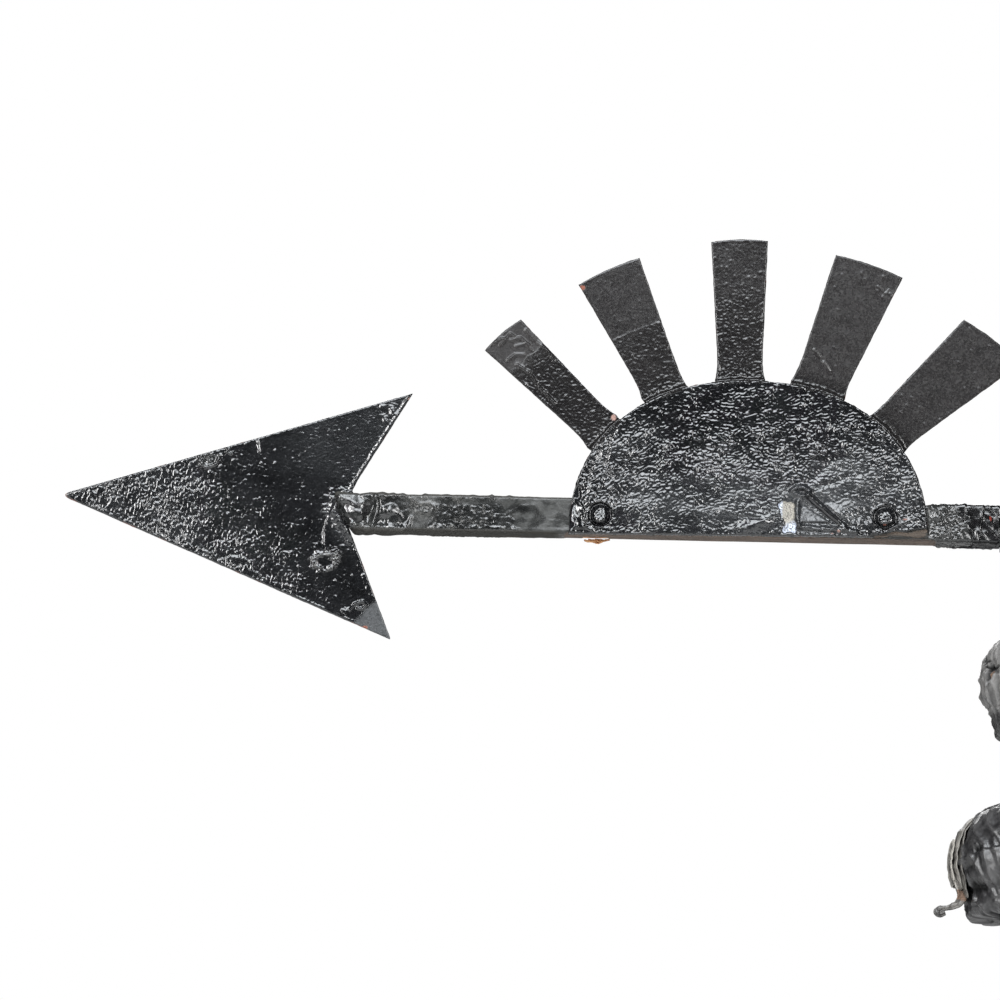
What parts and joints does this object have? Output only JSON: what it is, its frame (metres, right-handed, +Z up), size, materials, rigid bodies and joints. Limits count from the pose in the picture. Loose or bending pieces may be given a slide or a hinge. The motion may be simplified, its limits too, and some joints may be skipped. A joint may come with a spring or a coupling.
{
  "type": "weathervane",
  "caption": "Arrow weathervane with a rising sun on a square wooden shaft, turning on a spindle over a short pipe mast with a floor flange.",
  "frame": {"origin": "middle of the floor flange's underside, which is the centre of its circle of four holes", "axes": "+Z up the spindle, -X the way the arrow points, -Y the way the sun faces"},
  "size_m": [1.3258, 0.112, 0.8035],
  "materials": {
    "tarred_steel": "sheet steel under thick glossy bitumen paint that has wrinkled",
    "ray_paint": "sheet steel under thinner, flatter black paint with torn film and a few gritty spots",
    "tarred_wood": "softwood under worn black paint, with bare brown grain on the underside",
    "tarred_fixings": "steel heads drowned in bitumen paint",
    "zinc_fixings": "dull zinc plate with rust at the edges and black overspray",
    "bare_steel": "greased bright steel",
    "bush_brass": "turned, dull",
    "tarred_cloth": "crumpled cloth soaked in bitumen, dry and grey on its ridges",
    "black_screw": "black oxide",
    "mast_paint": "pipe under brushed black paint with drips",
    "cast_fittings": "cast fitting, sand texture, painted black and worn at the edges"
  },
  "bodies": {
    "mast": {"spindle": "bare_steel", "drip_collar": "bare_steel", "grub_screw": "black_screw", "reducer_coupling": "cast_fittings", "lower_wrap": "tarred_cloth", "mast_pipe": "mast_paint", "floor_flange": "cast_fittings"},
    "vane": {"shaft": "tarred_wood", "arrowhead": "tarred_steel", "arrowhead_rivets": "tarred_fixings", "sun_disc": "tarred_steel", "sun_ray_1": "ray_paint", "sun_ray_2": "ray_paint", "sun_ray_3": "ray_paint", "sun_ray_4": "ray_paint", "sun_ray_5": "ray_paint", "ray_rivets": "tarred_fixings", "sun_bolts": "tarred_fixings", "sun_washers": "zinc_fixings", "sun_nuts": "zinc_fixings", "clinched_nail": "tarred_fixings", "tail_fin": "tarred_steel", "tail_rivets": "tarred_fixings", "saddle": "tarred_steel", "saddle_bolts": "tarred_fixings", "saddle_nuts": "zinc_fixings", "rotor_tube": "tarred_steel", "tube_plug": "bare_steel", "thrust_ball": "bare_steel", "upper_bush": "bush_brass", "lower_bush": "bush_brass", "shaft_wraps": "tarred_cloth", "upper_wrap": "tarred_cloth"}
  },
  "joints": [
    {"name": "vane_spin", "type": "hinge", "parent": "mast", "child": "vane", "pos_m": [0, 0, 0.5], "axis": [0, 0, 1], "continuous": true}
  ]
}
